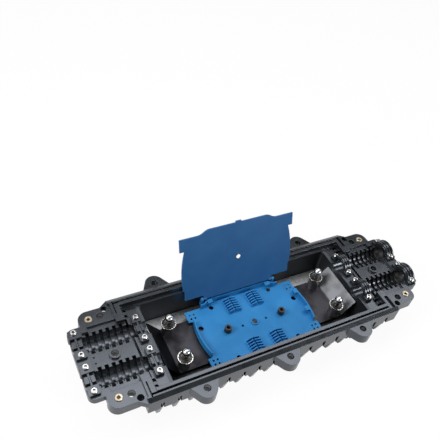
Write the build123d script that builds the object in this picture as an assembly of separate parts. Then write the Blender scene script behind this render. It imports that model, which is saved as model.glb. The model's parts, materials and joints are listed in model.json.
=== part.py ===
from build123d import *
import os
from math import acos, atan2, cos, hypot, radians, sin, tan

# Horizontal in-line fibre splice closure, opened: the ribbed base half with two cable ports at
# each end, the steel strength bar, and the splice tray with its lid swung up. The cover is off.
# X runs along the cables, Y towards the lid's hinge, Z up. The origin is on the ground under the
# middle of the base, and z = 0 is the underside of the feet ribs. All sizes are in millimetres.

# Base levels above the ground
foot_depth = 4.0
floor_thickness = 3.0
flange_z = 50.0
flange_thickness = 8.0
lug_depth = 14.0
tub_shoulder_z = 38.0
land_root_z = 30.0

# Base plan, measured from the two centre planes
flange_half_width = 72.0
shoulder_x = 176.0
shoulder_run = 10.0
ear_half_width = 65.0
ear_end_x = 215.0
ear_pad_length = 43.0
ear_radius = 12.0
port_end_x = 232.0
port_end_half_width = 46.5
port_end_radius = 8.0
tub_top_half = (184.0, 63.0)
tub_floor_half = (158.0, 60.0)
tub_corner_radius = 9.0
tub_bottom_fillet = 4.0

# Side lugs that the cover's side bolts pass through
lug_xs = (-110.0, 0.0, 110.0)
lug_y = 78.0
lug_radius = 12.0
lug_flare = 18.0

# Cover bolts: clearance holes in the base and the captive nuts under them
cover_bolt_hole_radius = 4.3
nut_thread_radius = 4.0
nut_across_flats = 13.0
nut_height = 6.5
nut_gap = 0.15
nut_recess = 1.0
ear_hole = (188.8, 53.5)
end_boss_x = 188.8
end_boss_radius = 6.8
end_boss_root_radius = 10.0
locating_hole = (181.5, 61.5)
locating_hole_radius = 4.0
locating_hole_depth = 9.0

# Brass inserts in the corner ears
insert_place = (203.0, 53.0)
insert_radius = 4.0
insert_flange_radius = 4.5
insert_flange_height = 1.2
insert_bore_radius = 1.9

# Cavity for the tray and the cable slack
cavity_half_length = 140.0
cavity_half_width = 56.0
cavity_floor_draft = 1.0
cavity_corner_radius = 4.0

# Seal land round the cavity
ledge_depth = 4.0
ridge_inner_y = 58.5
ridge_outer_y = 62.5
ridge_height = 4.0
groove_outer_y = 65.0
groove_depth = 3.0
lip_height = 3.0
lip_top_width = 2.0
seal_end_x = (-170.0, 162.5)
seal_radius = 1.15
seal_end_gap = 0.4
end_land_x = (163.5, 174.0)
end_land_half_width = 66.5
cross_slot_width = (1.6, 5.2)
cross_slot_offset = 1.5
cross_slot_y = (47.5, 67.0)
cross_slot_depth = 5.0

# Inner clamp block, the trench behind it and its small pockets
clamp_block_end_x = 158.0
clamp_seat_z = 44.0
trench_x = (160.5, 163.5)
trench_half_width = 41.5
trench_floor_z = 34.0
pocket_ys = (45.5, 53.5)
pocket_size = (6.5, 4.0, 7.0)

# Cable ports: two channels at each end
port_y = 23.2
port_axis_z = 46.0
port_fin_radius = 10.0
port_notch_radius = 14.2
port_wall = 2.8
notch_first_x = 170.0
notch_pitch = 8.0
notch_width = 4.4
notch_count = 6
fin_split_width = 0.9
fin_split_reach = 12.4
fin_split_low_z = 42.0
comb_z = 47.0
recess_end_x = 208.0
recess_half_width = 43.5
recess_inner_half_width = 37.5
outer_seat_start_x = 214.0
drain_hole = (212.0, 4.0)
drain_hole_radius = 1.0

# Hollows under the ports, open below
hollow_x = 147.0
hollow_top_z = 24.0
hollow_skin = 4.0
hollow_rib = 3.0
hollow_count = 4

# Feet ribs across the underside
rib_first_x = 16.5
rib_pitch = 20.4
rib_count = 8
rib_thickness = 4.0
rib_half_width = 70.0
rib_toe = 5.0
rib_bend_z = 28.0
rib_foot_half_width = 64.5
lug_rib_half_width = 71.0

# Skirt that hangs from each long side of the flange, with a window above every rib's foot
skirt_low_z = 29.5
skirt_thickness = 3.5
skirt_window_width = 4.4
skirt_window_z = (28.0, 41.0)
skirt_window_depth = 6.0

# Cable clamps: an outer pair and an inner pair at each end
clamp_screw_offset = 15.2
clamp_foot_half = 19.4
outer_clamp_x = (218.0, 231.5)
inner_clamp_x = (145.0, 155.6)
outer_seat_radius = 10.5
inner_seat_radius = 9.5
outer_foot_thickness = 3.5
inner_foot_thickness = 4.5
outer_arch_wall = 5.0
inner_arch_wall = 2.8
arch_rib_height = 2.2
arch_rib_width = 2.0
arch_rib_shares = (0.16, 0.5, 0.84)
outer_saddle_size = (10.2, 8.6)
inner_saddle_size = (10.9, 7.2)
saddle_wall = 2.2
saddle_web = 2.0
saddle_web_drop = 1.0
saddle_key_half_width = 4.2
saddle_key_margin = 1.0
saddle_key_gap = 2.6
clamp_screw_radius = 2.0
clamp_screw_head_radius = 3.6
clamp_screw_head_height = 2.8
clamp_screw_length = 11.0
clamp_hole_gap = 0.3
pilot_gap = 0.1

# Strength bar: one folded steel strip under the tray, with a lip turned up at each end
bar_thickness = 2.0
bar_top_z = 14.0
bar_half_width = 33.0
bar_fold_x = 118.6
bar_lip_x = 137.0
bar_lip_top_z = 37.0
bar_screw_place = (66.0, 22.0)
bar_boss_radius = 6.0
bar_screw_radius = 2.0
bar_screw_head_radius = 3.8
bar_screw_head_height = 2.2
bar_screw_length = 8.5

# Sheet that lines the floor under the bar
floor_sheet_half = (137.5, 54.2)
floor_sheet_thickness = 1.0
floor_sheet_corner_radius = 3.5
floor_sheet_gap = 0.4

# Strength member anchors on the bar
anchor_place = (111.2, 25.5)
anchor_bolt_radius = 3.0
anchor_dome_radius = 5.4
anchor_dome_rise = 2.4
anchor_head_z = 41.5
anchor_spacer_radius = 7.4
anchor_spacer_height = 18.0
anchor_washer_radius = 9.3
anchor_washer_thickness = 1.6
spring_washer_radius = 5.4
spring_washer_thickness = 1.8
spring_washer_slit = 1.0
anchor_nut_across_flats = 10.0
anchor_nut_height = 3.4
anchor_gap = 0.2

# Splice tray
tray_centre_y = -2.0
tray_floor_z = 18.5
tray_floor_thickness = 1.8
tray_half_length = 81.0
tray_half_width = 50.0
tray_shoulder_x = 58.0
tray_crown_x = 40.0
tray_shoulder_drop = 5.7
tray_tab_width = 16.3
tray_waist_x = 76.0
tray_bulge_x = 80.0
tray_rim_height = 7.5
tray_rim_thickness = 1.6
tray_rim_open_x = 58.0
tray_foot_radius = 4.0
tray_foot_place = (50.0, 24.0)
tray_post_x = 40.0
tray_post_radius = 4.3
tray_post_bore = 2.9
tray_pin_x = 17.5
tray_pin_hole_radius = 1.7
tray_hub_radius = 5.4
tray_hub_recess_radius = 3.6
tray_hub_height = 1.6
tab_hole_side = 2.6
tab_hole_xs = (70.3, 75.8)
tab_hole_vs = (32.5, 38.0)
retainer_size = (7.0, 7.0, 1.4)
retainer_xs = (-44.0, 44.0)
retainer_hole_radius = 3.2
side_retainer_vs = (-10.0, 21.0)
side_hole = (70.5, 15.0)
side_hole_radius = 3.5

# Screw that holds the tray to the bar
tray_screw_radius = 2.0
tray_screw_head_radius = 3.2
tray_screw_head_height = 1.4
tray_nut_across_flats = 7.0
tray_nut_height = 3.2

# Splice holders: comb blocks that press onto the tray floor
holder_x = 17.0
holder_v = 33.0
holder_size = (20.0, 21.0)
holder_base = 1.2
holder_row_offset = 4.9
holder_fin_length = 8.2
holder_fin_thickness = 1.4
holder_fin_height = 5.2
holder_fin_pitch = 3.8
holder_fin_count = 6
holder_fin_slant = 12.0

# Tray lid and its hinge
lid_thickness = 1.8
lid_open_lean = 20.0
lid_stop_gap = 0.15
lid_length = 100.0
lid_middle_half = 52.0
lid_corner_lift = 6.0
lid_lower_half = 78.0
lid_step_height = 20.0
lid_upper_half = 80.0
lid_bulge_half = 81.0
lid_notch_height = 77.0
lid_ear_half = 82.5
lid_shoulder_height = 94.3
lid_hole_height = 49.5
lid_hole_radius = 3.4
lid_slit = (1.0, 3.2)
lid_finger_tab = (8.0, 2.0)
hinge_pin_radius = 1.4
hinge_pin_gap = 0.06
hinge_knuckle_radius = 1.8
hinge_knuckle_width = 4.0
hinge_ear_width = 3.0
hinge_ear_radius = 2.6
hinge_side_gap = 0.4
hinge_rim_gap = 0.3

# Values that follow from those above
floor_top_z = foot_depth + floor_thickness
bar_bottom_z = bar_top_z - bar_thickness
tray_bottom_z = tray_floor_z - tray_floor_thickness
tray_rim_z = tray_floor_z + tray_rim_height
ridge_top_z = flange_z + ridge_height
lid_hinge_z = tray_rim_z + hinge_knuckle_radius + hinge_rim_gap
lid_hinge_y = (
    ridge_inner_y
    - lid_stop_gap
    - (ridge_top_z - lid_hinge_z) * tan(radians(lid_open_lean))
    - lid_thickness / 2 / cos(radians(lid_open_lean))
)
ear_hole_places = [(sx * ear_hole[0], sy * ear_hole[1]) for sx in (-1, 1) for sy in (-1, 1)]
lug_places = [(x, sy * lug_y) for x in lug_xs for sy in (-1, 1)]
boss_places = [(-end_boss_x, 0.0), (end_boss_x, 0.0)]
cover_bolt_places = ear_hole_places + lug_places + boss_places
port_places = [-port_y, port_y]
anchor_places = [(sx * anchor_place[0], sy * anchor_place[1]) for sx in (-1, 1) for sy in (-1, 1)]
bar_screw_places = [
    (sx * bar_screw_place[0], sy * bar_screw_place[1]) for sx in (-1, 1) for sy in (-1, 1)
]
slot_mid_x = sum(end_land_x) / 2 + cross_slot_offset
rib_xs = [side * (rib_first_x + k * rib_pitch) for side in (-1, 1) for k in range(rib_count)]
outer_clamp_mid_x = sum(outer_clamp_x) / 2
inner_clamp_mid_x = sum(inner_clamp_x) / 2


def block(x, y, z):
    """a box between the two limits given for each axis"""
    centre = [(limits[0] + limits[1]) / 2 for limits in (x, y, z)]
    size = [limits[1] - limits[0] for limits in (x, y, z)]
    return Pos(*centre) * Box(*size)


def rod(x, y, z0, z1, radius):
    """an upright cylinder"""
    return Pos(x, y, (z0 + z1) / 2) * Cylinder(radius, z1 - z0)


def rod_x(x0, x1, y, z, radius):
    """a cylinder along X"""
    return Pos((x0 + x1) / 2, y, z) * Rot(0, 90, 0) * Cylinder(radius, x1 - x0)


def upright(plan, z0, z1):
    """a flat outline carried straight up between two heights"""
    return extrude(Pos(0, 0, z0) * plan, z1 - z0, dir=(0, 0, 1))


def hexagon(x, y, z0, z1, across_flats):
    """an upright hexagonal prism"""
    plan = RegularPolygon(across_flats / 2, 6, major_radius=False)
    return upright(Pos(x, y) * plan, z0, z1)


def prism_x(points, x0, x1):
    """a profile of (y, z) points carried along X"""
    profile = Plane.YZ * Polygon(*points, align=None)
    return Pos(x0, 0, 0) * extrude(profile, x1 - x0, dir=(1, 0, 0))


def prism_y(points, y0, y1):
    """a profile of (x, z) points carried along Y"""
    outline = Polyline(*[(x, 0, z) for x, z in points], close=True)
    return Pos(0, y0, 0) * extrude(make_face(outline), y1 - y0, dir=(0, 1, 0))


def both_ends(shapes):
    """the shapes and their mirror images at the other end"""
    return shapes + [shape.mirror(Plane.YZ) for shape in shapes]


def four_ways(shapes):
    """the shapes mirrored in both vertical centre planes"""
    pair = both_ends(shapes)
    return pair + [shape.mirror(Plane.XZ) for shape in pair]


def group(shapes):
    """separate solids of one kind as one compound"""
    solids = [solid for shape in shapes for solid in shape.solids()]
    return Compound(children=solids)


def flange_plan():
    """outline of the parting flange: long sides, corner ears and the port ends"""
    ear_shoulder_x = shoulder_x + shoulder_run
    corners = [(shoulder_x, flange_half_width), (ear_shoulder_x, ear_half_width)]
    right = corners + [(x, -y) for x, y in reversed(corners)]
    left = [(-x, -y) for x, y in right]
    sides = Polygon(*right, *left, align=None)
    ears = RectangleRounded(2 * ear_end_x, 2 * ear_half_width, ear_radius)
    ends = RectangleRounded(2 * port_end_x, 2 * port_end_half_width, port_end_radius)
    return sides + ears + ends


def lug_plan():
    """outline of a side lug about its bolt, with flares that run into the flange"""
    foot = (lug_flare, flange_half_width - 1.0 - lug_y)
    angle = atan2(foot[1], foot[0]) + acos(lug_radius / hypot(*foot))
    touch = (lug_radius * cos(angle), lug_radius * sin(angle))
    flare = Polygon(foot, touch, (-touch[0], touch[1]), (-foot[0], foot[1]), align=None)
    return Circle(lug_radius) + flare


def tub_body():
    """drafted outer body of the base, with its bottom edges rounded"""
    top = RectangleRounded(2 * tub_top_half[0], 2 * tub_top_half[1], tub_corner_radius)
    bottom = RectangleRounded(2 * tub_floor_half[0], 2 * tub_floor_half[1], tub_corner_radius)
    body = loft([Pos(0, 0, foot_depth) * bottom, Pos(0, 0, tub_shoulder_z) * top])
    body = fillet(body.edges().group_by(Axis.Z)[0], tub_bottom_fillet)
    return body + upright(top, tub_shoulder_z, flange_z)


def tub_cavity():
    """open space inside the base, slightly smaller at the floor than at the top"""
    radius = cavity_corner_radius
    draft = cavity_floor_draft
    top = RectangleRounded(2 * cavity_half_length, 2 * cavity_half_width, radius)
    bottom = RectangleRounded(
        2 * (cavity_half_length - draft), 2 * (cavity_half_width - draft), radius
    )
    lower = loft([Pos(0, 0, floor_top_z) * bottom, Pos(0, 0, flange_z) * top])
    return lower + upright(top, flange_z, ridge_top_z + 1.0)


def feet_ribs():
    """thin ribs across the underside that the base stands on, deeper ones under the lugs"""
    half = rib_thickness / 2
    side_z = flange_z - flange_thickness
    ribs = []
    for x, reach, low in [(x, rib_half_width, 0.0) for x in rib_xs] + [
        (x, lug_rib_half_width, foot_depth) for x in lug_xs
    ]:
        side = [
            (tub_floor_half[1] - rib_toe, low),
            (rib_foot_half_width, low + rib_toe),
            (reach, rib_bend_z),
            (reach, side_z),
        ]
        profile = side + [(-y, z) for y, z in reversed(side)]
        ribs.append(prism_x(profile, x - half, x + half))
    return ribs


def side_skirts():
    """walls that hang from the long sides of the flange, closed against the tub at their ends"""
    inner_y = flange_half_width - skirt_thickness
    top = flange_z - 1.0
    wall = block((-shoulder_x, shoulder_x), (inner_y, flange_half_width), (skirt_low_z, top))
    ends = both_ends(
        [
            block(
                (shoulder_x - skirt_thickness, shoulder_x),
                (tub_floor_half[1], inner_y + 1),
                (skirt_low_z, top),
            )
        ]
    )
    skirt = [wall] + ends
    return skirt + [piece.mirror(Plane.XZ) for piece in skirt]


def skirt_windows():
    """cuts through the skirts above the ribs' feet"""
    half = skirt_window_width / 2
    windows = [
        block(
            (x - half, x + half),
            (flange_half_width - skirt_window_depth, flange_half_width + 1),
            skirt_window_z,
        )
        for x in rib_xs
    ]
    return windows + [window.mirror(Plane.XZ) for window in windows]


def seal_lands():
    """ridges and outer lips that hold the seal on the long sides, and the lands at the ends"""
    ridge = block(
        (-end_land_x[0], end_land_x[0]), (ridge_inner_y, ridge_outer_y), (land_root_z, ridge_top_z)
    )
    lip_profile = [
        (groove_outer_y, flange_z - 1.0),
        (groove_outer_y, flange_z + lip_height),
        (groove_outer_y + lip_top_width, flange_z + lip_height),
        (flange_half_width, flange_z),
        (flange_half_width, flange_z - 1.0),
    ]
    lip = prism_x(lip_profile, -shoulder_x, shoulder_x)
    sides = [ridge, lip, ridge.mirror(Plane.XZ), lip.mirror(Plane.XZ)]
    land = block(
        end_land_x, (recess_inner_half_width, end_land_half_width), (land_root_z, flange_z + lip_height)
    )
    return sides + four_ways([land])


def port_channels():
    """everything cut out along the cable ports: smooth seats, fins and the notches between"""
    cuts = []
    for y in port_places:
        cuts.append(
            rod_x(cavity_half_length - 2, trench_x[0] + 1, y, port_axis_z, inner_seat_radius)
        )
        cuts.append(rod_x(trench_x[0], outer_seat_start_x + 1, y, port_axis_z, port_fin_radius))
        cuts.append(rod_x(outer_seat_start_x, port_end_x + 1, y, port_axis_z, outer_seat_radius))
        for k in range(notch_count):
            x = notch_first_x + k * notch_pitch
            half = notch_width / 2
            cuts.append(rod_x(x - half, x + half, y, port_axis_z, port_notch_radius))
    return both_ends(cuts)


def fin_splits():
    """narrow cuts that part the near edge of each port fin into two"""
    half = fin_split_width / 2
    mid_xs = [notch_first_x + (k + 0.5) * notch_pitch for k in range(notch_count - 1)]
    cuts = [
        block(
            (x - half, x + half),
            (y - fin_split_reach, y - port_fin_radius + 1),
            (fin_split_low_z, ridge_top_z),
        )
        for x in mid_xs
        for y in port_places
    ]
    return both_ends(cuts)


def end_recesses():
    """cuts above the clamp blocks and round the combs, and the trench between them"""
    above = ridge_top_z + 1.0
    seat = block(
        (cavity_half_length - 2, clamp_block_end_x),
        (-cavity_half_width, cavity_half_width),
        (clamp_seat_z, above),
    )
    trench = block(trench_x, (-trench_half_width, trench_half_width), (trench_floor_z, above))
    behind = block(
        (clamp_block_end_x, end_land_x[0]),
        (-cavity_half_width, cavity_half_width),
        (flange_z - ledge_depth, above),
    )
    wide = block((end_land_x[1], recess_end_x), (-recess_half_width, recess_half_width), (comb_z, above))
    narrow = block(
        (trench_x[0], outer_seat_start_x + 2),
        (-recess_inner_half_width, recess_inner_half_width),
        (comb_z, above),
    )
    return both_ends([seat, trench, behind, wide, narrow])


def land_slots():
    """ledge inside the ridges, the seal grooves, the cross slots and the small pockets"""
    above = ridge_top_z + 1.0
    ledge = block(
        (-trench_x[0], trench_x[0]), (-ridge_inner_y, ridge_inner_y), (flange_z - ledge_depth, above)
    )
    groove = block(seal_end_x, (ridge_outer_y, groove_outer_y), (flange_z - groove_depth, above))
    slots = [
        block(
            (side * slot_mid_x - width / 2, side * slot_mid_x + width / 2),
            cross_slot_y,
            (flange_z + lip_height - cross_slot_depth, above),
        )
        for side, width in zip((-1, 1), cross_slot_width)
    ]
    length, width, depth = pocket_size
    top = flange_z - ledge_depth
    pocket_x = (end_land_x[0] - length, end_land_x[0])
    pockets = [
        block(pocket_x, (y - width / 2, y + width / 2), (top - depth, above)) for y in pocket_ys
    ]
    both_sides = [groove] + slots
    both_sides += [cut.mirror(Plane.XZ) for cut in both_sides]
    return [ledge] + both_sides + four_ways(pockets)


def under_hollows():
    """hollows open to the ground under each port, parted by ribs that run lengthways"""
    inner_half = tub_floor_half[1] - hollow_skin
    bay = (2 * inner_half - (hollow_count - 1) * hollow_rib) / hollow_count
    bays = []
    for k in range(hollow_count):
        y = -inner_half + k * (bay + hollow_rib)
        bays.append(block((hollow_x, port_end_x), (y, y + bay), (-1.0, hollow_top_z)))
    return both_ends(bays)


def base_holes():
    """bolt holes with nut pockets, locating holes, insert bores and screw pilots"""
    above = ridge_top_z + 1.0
    nut_low_z = flange_z - lug_depth
    pocket_flats = nut_across_flats + 2 * nut_gap
    holes = []
    for x, y in cover_bolt_places:
        holes.append(rod(x, y, skirt_low_z - 1, above, cover_bolt_hole_radius))
        holes.append(hexagon(x, y, nut_low_z - 1, nut_low_z + nut_recess + nut_height, pocket_flats))
    holes += [hexagon(x, y, skirt_low_z - 1, nut_low_z, pocket_flats) for x, y in lug_places]
    hole_x, hole_y = locating_hole
    insert_x, insert_y = insert_place
    screw_half_y = [port_y - clamp_screw_offset, port_y + clamp_screw_offset]
    corner = [
        rod(hole_x, hole_y, flange_z - locating_hole_depth, above, locating_hole_radius),
        rod(insert_x, insert_y, nut_low_z - 1, above, insert_radius),
        rod(drain_hole[0], drain_hole[1], comb_z - 4, above, drain_hole_radius),
    ]
    for y in screw_half_y:
        pilot = clamp_screw_radius + pilot_gap
        outer_z = flange_z + outer_foot_thickness - clamp_screw_length - 0.5
        inner_z = clamp_seat_z + inner_foot_thickness - clamp_screw_length - 0.5
        corner.append(rod(outer_clamp_mid_x, y, outer_z, above, pilot))
        corner.append(rod(inner_clamp_mid_x, y, inner_z, above, pilot))
    pilots = [
        rod(x, y, bar_top_z - bar_screw_length, bar_top_z, bar_screw_radius + pilot_gap)
        for x, y in bar_screw_places
    ]
    return holes + four_ways(corner) + pilots


def base_shell():
    """the moulded base half in one piece"""
    base = upright(flange_plan(), flange_z - flange_thickness, flange_z)
    lug = upright(Pos(0, lug_y) * lug_plan(), flange_z - lug_depth, flange_z)
    lugs = [Pos(x, 0, 0) * lug for x in lug_xs]
    lugs += [piece.mirror(Plane.XZ) for piece in lugs]
    pad = RectangleRounded(ear_pad_length, 2 * ear_radius - 0.2, ear_radius - 0.2)
    pad_place = Pos(ear_end_x - ear_pad_length / 2, ear_half_width - ear_radius)
    ears = four_ways([upright(pad_place * pad, flange_z - lug_depth, flange_z)])
    port_outer_radius = port_notch_radius + port_wall
    troughs = [
        rod_x(hollow_x, port_end_x - 2, y, port_axis_z, port_outer_radius) for y in port_places
    ]
    trough_tops = block(
        (-port_end_x, port_end_x), (-port_end_half_width, port_end_half_width), (flange_z, 2 * flange_z)
    )
    roots = [
        rod(end_boss_x, 0, flange_z - lug_depth, flange_z - 1, end_boss_root_radius)
    ]
    base = base + [tub_body()] + lugs + ears + both_ends(troughs + roots)
    base = base - trough_tops
    base = base + side_skirts() + feet_ribs() + seal_lands()
    base = base - ([tub_cavity()] + end_recesses() + land_slots() + skirt_windows())
    bosses = both_ends([rod(end_boss_x, 0, comb_z - 2, flange_z, end_boss_radius)])
    bar_bosses = [rod(x, y, floor_top_z - 1, bar_bottom_z, bar_boss_radius) for x, y in bar_screw_places]
    base = base + bosses + bar_bosses
    return base - (port_channels() + fin_splits() + base_holes() + under_hollows())


def side_seal(side):
    """rubber cord that lies in one long groove, with round ends"""
    middle_y = (ridge_outer_y + groove_outer_y) / 2
    z = flange_z - groove_depth + seal_radius
    inset = seal_radius + seal_end_gap
    ends = (seal_end_x[0] + inset, seal_end_x[1] - inset)
    cord = rod_x(*ends, side * middle_y, z, seal_radius)
    tips = [Pos(x, side * middle_y, z) * Sphere(seal_radius) for x in ends]
    return cord + tips


def corner_insert():
    """brass bush with a thin flange that rests on the ear"""
    x, y = insert_place
    bottom = flange_z - lug_depth
    top = flange_z + insert_flange_height
    bush = rod(x, y, bottom, flange_z, insert_radius) + rod(x, y, flange_z, top, insert_flange_radius)
    bush = bush - rod(x, y, bottom - 1, top + 1, insert_bore_radius)
    return chamfer(bush.edges().group_by(Axis.Z)[-1], 0.4)


def captive_nut(x, y):
    """hexagonal nut seated at the top of its pocket"""
    low = flange_z - lug_depth + nut_recess
    nut = hexagon(x, y, low, low + nut_height, nut_across_flats)
    return nut - rod(x, y, low - 1, low + nut_height + 1, nut_thread_radius)


def clamp_feet(x_limits, seat_z, thickness, opening):
    """the two feet of a clamp strap about y = 0, parted by the opening"""
    mid_x = sum(x_limits) / 2
    width = x_limits[1] - x_limits[0]
    plan = RectangleRounded(width, 2 * clamp_foot_half, 2.0) - Rectangle(width + 2, 2 * opening)
    return upright(Pos(mid_x, 0) * plan, seat_z, seat_z + thickness)


def clamp_screw_ways(x_limits, seat_z, thickness):
    """what the two screws need: a hole through each foot and room for the head above it"""
    mid_x = sum(x_limits) / 2
    hole = clamp_screw_radius + clamp_hole_gap
    head = clamp_screw_head_radius + clamp_hole_gap
    ways = []
    for y in (-clamp_screw_offset, clamp_screw_offset):
        ways.append(rod(mid_x, y, seat_z - 1, seat_z + thickness + 1, hole))
        ways.append(rod(mid_x, y, seat_z + thickness, 2 * flange_z, head))
    return ways


def arch_clamp(x_limits, seat_z, thickness, radius, wall):
    """strap that arches over a thick cable, with raised ribs along its back"""
    x0, x1 = x_limits
    width = x1 - x0
    skin = rod_x(x0, x1, 0, port_axis_z, radius + wall)
    ribs = [
        rod_x(
            x0 + share * width - arch_rib_width / 2,
            x0 + share * width + arch_rib_width / 2,
            0,
            port_axis_z,
            radius + wall + arch_rib_height,
        )
        for share in arch_rib_shares
    ]
    feet = clamp_feet(x_limits, seat_z, thickness, radius - 1.0)
    below = block((x0 - 1, x1 + 1), (-3 * radius, 3 * radius), (0.0, seat_z))
    strap = skin + ribs - below + feet
    opening = rod_x(x0 - 1, x1 + 1, 0, port_axis_z, radius)
    return strap - ([opening] + clamp_screw_ways(x_limits, seat_z, thickness))


def oval_x(x0, x1, z, half_width, depth):
    """an oval rod along X"""
    profile = Plane.YZ * Pos(0, z) * Ellipse(half_width, depth)
    return Pos(x0, 0, 0) * extrude(profile, x1 - x0, dir=(1, 0, 0))


def saddle_clamp(x_limits, seat_z, thickness, size):
    """the same strap turned over: its middle dips into the port and holds a thin cable with two keys"""
    x0, x1 = x_limits
    mid_x = (x0 + x1) / 2
    top_z = seat_z + thickness
    half_width, depth = size
    room = (half_width - saddle_wall, depth - saddle_wall)
    shell = oval_x(x0, x1, top_z, half_width, depth) - oval_x(x0 - 1, x1 + 1, top_z, *room)
    web = oval_x(mid_x - saddle_web / 2, mid_x + saddle_web / 2, top_z, room[0] + 0.5, room[1] + 0.5)
    above = block((x0 - 1, x1 + 1), (-2 * half_width, 2 * half_width), (top_z, 2 * top_z))
    web_top = block((x0 - 1, x1 + 1), (-half_width, half_width), (top_z - saddle_web_drop, 2 * top_z))
    key_y = (-saddle_key_half_width, saddle_key_half_width)
    key_z = (top_z - depth + saddle_wall / 2, top_z - saddle_web_drop / 2)
    keys = [
        block((x0 + saddle_key_margin, mid_x - saddle_key_gap / 2), key_y, key_z),
        block((mid_x + saddle_key_gap / 2, x1 - saddle_key_margin), key_y, key_z),
    ]
    feet = clamp_feet(x_limits, seat_z, thickness, half_width - 0.5)
    strap = (shell - above) + (web - web_top) + keys + feet
    return strap - clamp_screw_ways(x_limits, seat_z, thickness)


def clamp_screw(x, y, seat_z):
    """pan head screw with a cross recess"""
    top = seat_z + clamp_screw_head_height
    radius = clamp_screw_head_radius
    head = rod(x, y, seat_z, top, radius)
    head = chamfer(head.edges().group_by(Axis.Z)[-1], clamp_screw_head_height * 0.3)
    cross = [Pos(x, y, top) * Rot(0, 0, turn) * Box(1.0, 1.1 * radius, 1.8) for turn in (20, 110)]
    shank = rod(x, y, seat_z - clamp_screw_length, seat_z, clamp_screw_radius)
    return head - cross + shank


def clamp_screws(mid_x, seat_z):
    """the eight screws of the outer or the inner clamps"""
    ys = [py + sy * clamp_screw_offset for py in port_places for sy in (-1, 1)]
    return group([clamp_screw(sx * mid_x, y, seat_z) for sx in (-1, 1) for y in ys])


def strength_bar():
    """folded steel strip: flat under the tray, with a lip at each end for tying the cables"""
    low = bar_bottom_z
    rise = bar_lip_top_z - bar_top_z
    run = bar_lip_x - bar_fold_x
    tilt = atan2(rise, run)
    slip = bar_thickness * tan(tilt / 2)
    tip = (bar_lip_x + bar_thickness * sin(tilt), bar_lip_top_z - bar_thickness * cos(tilt))
    right = [(bar_fold_x + slip, low), tip, (bar_lip_x, bar_lip_top_z), (bar_fold_x, bar_top_z)]
    left = [(-x, z) for x, z in reversed(right)]
    bar = prism_y(right + left, -bar_half_width, bar_half_width)
    anchor_holes = [
        rod(x, y, low - 1, bar_top_z + 1, anchor_bolt_radius + anchor_gap) for x, y in anchor_places
    ]
    screw_holes = [
        rod(x, y, low - 1, bar_top_z + 1, bar_screw_radius + clamp_hole_gap) for x, y in bar_screw_places
    ]
    centre_hole = rod(0, tray_centre_y, low - 1, bar_top_z + 1, tray_screw_radius + clamp_hole_gap)
    return bar - (anchor_holes + screw_holes + [centre_hole])


def bar_screw(x, y):
    """screw that holds the bar down on a boss of the base"""
    top = bar_top_z + bar_screw_head_height
    head = rod(x, y, bar_top_z, top, bar_screw_head_radius)
    head = chamfer(head.edges().group_by(Axis.Z)[-1], bar_screw_head_height * 0.3)
    return head + rod(x, y, bar_top_z - bar_screw_length + 0.5, bar_top_z, bar_screw_radius)


def floor_sheet():
    """thin sheet on the cavity's floor, cut out round the bosses that carry the bar"""
    half_length, half_width = floor_sheet_half
    top = floor_top_z + floor_sheet_thickness
    plan = RectangleRounded(2 * half_length, 2 * half_width, floor_sheet_corner_radius)
    holes = [
        rod(x, y, floor_top_z - 1, top + 1, bar_boss_radius + floor_sheet_gap) for x, y in bar_screw_places
    ]
    return upright(plan, floor_top_z, top) - holes


def ring(x, y, z0, z1, outer, inner):
    """an upright tube or washer"""
    return rod(x, y, z0, z1, outer) - rod(x, y, z0 - 1, z1 + 1, inner)


def anchor_spacer(x, y):
    """tube that lifts the clamping washer to the height of the cable's strength member"""
    bore = anchor_bolt_radius + anchor_gap
    return ring(x, y, bar_top_z, bar_top_z + anchor_spacer_height, anchor_spacer_radius, bore)


def anchor_washer(x, y):
    """wide flat washer that grips the strength member"""
    low = bar_top_z + anchor_spacer_height
    bore = anchor_bolt_radius + anchor_gap
    return ring(x, y, low, low + anchor_washer_thickness, anchor_washer_radius, bore)


def spring_washer(x, y):
    """split washer, cut through at a slant"""
    low = bar_top_z + anchor_spacer_height + anchor_washer_thickness
    bore = anchor_bolt_radius + anchor_gap
    washer = ring(x, y, low, low + spring_washer_thickness, spring_washer_radius, bore)
    reach = spring_washer_radius + 1
    slit = Box(reach, spring_washer_slit, 4 * spring_washer_thickness)
    return washer - Pos(x + bore + reach / 2 - 1, y, low) * Rot(25, 0, 0) * slit


def anchor_bolt(x, y):
    """domed bolt that stands proud of its washers, ready for a cable's strength member"""
    low_z = bar_bottom_z - anchor_nut_height
    centre_z = anchor_head_z + anchor_dome_rise
    dome = Pos(x, y, centre_z) * Sphere(anchor_dome_radius)
    kept = rod(x, y, anchor_head_z, centre_z + anchor_dome_radius + 1, anchor_dome_radius + 1)
    return (dome & kept) + rod(x, y, low_z, anchor_head_z + 1, anchor_bolt_radius)


def anchor_nut(x, y):
    """thin nut under the bar"""
    low = bar_bottom_z - anchor_nut_height
    nut = hexagon(x, y, low, bar_bottom_z, anchor_nut_across_flats)
    return nut - rod(x, y, low - 1, bar_bottom_z + 1, anchor_bolt_radius)


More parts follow.
